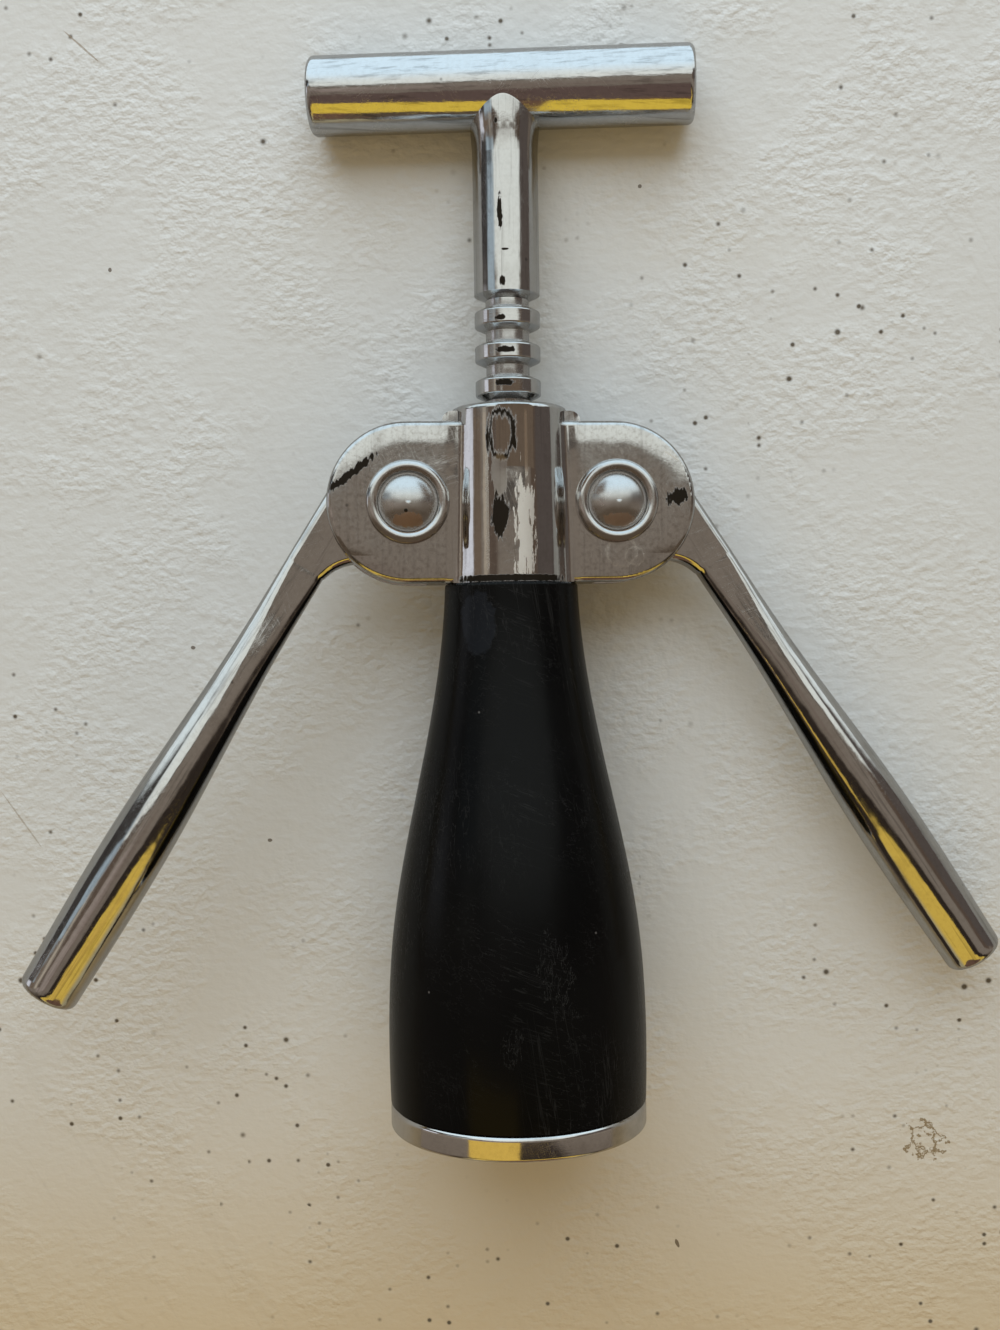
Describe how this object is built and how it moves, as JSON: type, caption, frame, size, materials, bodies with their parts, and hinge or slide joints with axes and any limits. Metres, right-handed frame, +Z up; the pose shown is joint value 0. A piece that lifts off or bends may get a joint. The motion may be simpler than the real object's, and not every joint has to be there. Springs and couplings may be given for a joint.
{
  "type": "wing corkscrew",
  "caption": "Wing corkscrew with two toothed levers, a ringed rack, a T-bar that turns an open helical worm, and a bell that sits on the bottle.",
  "frame": {"origin": "on the worm's axis, in the plane of the bell's foot", "axes": "+Z up along the worm's axis towards the T-bar, X across the two levers, -Y the front"},
  "size_m": [0.1438, 0.0378, 0.1567],
  "materials": {
    "cast_chrome": "polished casting with dulled patches",
    "polished_chrome": "polished",
    "lever_chrome": "polished",
    "turned_chrome": "worn polish with fine scratches",
    "worm_steel": "bright drawn wire",
    "bell_plastic": "satin black"
  },
  "bodies": {
    "frame": {"frame_casting": "cast_chrome", "bell": "bell_plastic", "base_ring": "polished_chrome", "bell_nut": "worm_steel", "left_rivet": "polished_chrome", "right_rivet": "polished_chrome", "left_rivet_cap": "polished_chrome", "right_rivet_cap": "polished_chrome", "left_front_washer": "polished_chrome", "right_front_washer": "polished_chrome", "left_rear_washer": "polished_chrome", "right_rear_washer": "polished_chrome"},
    "left_lever": {"left_lever": "lever_chrome"},
    "right_lever": {"right_lever": "lever_chrome"},
    "rack": {"rack": "turned_chrome"},
    "screw": {"stem": "turned_chrome", "crossbar": "turned_chrome", "worm": "worm_steel", "worm_pin": "worm_steel"}
  },
  "joints": [
    {"name": "left_lever_hinge", "type": "hinge", "parent": "frame", "child": "left_lever", "pos_m": [-0.01506, 0, 0.0906], "axis": [0, 1, 0], "range_deg": [-30, 105.5]},
    {"name": "right_lever_hinge", "type": "hinge", "parent": "frame", "child": "right_lever", "pos_m": [0.01506, 0, 0.0906], "axis": [0, -1, 0], "range_deg": [-30, 105.5]},
    {"name": "rack_slide", "type": "slide", "parent": "frame", "child": "rack", "axis": [0, 0, -1], "range_m": [-0.00583, 0.02052]},
    {"name": "handle_turn", "type": "hinge", "parent": "rack", "child": "screw", "pos_m": [0, 0, 0.1], "axis": [0, 0, 1], "continuous": true}
  ],
  "couplings": [
    {"joint": "right_lever_hinge", "follows": "left_lever_hinge", "ratio": 1},
    {"joint": "rack_slide", "follows": "left_lever_hinge", "m_per_rad": 0.011141}
  ]
}
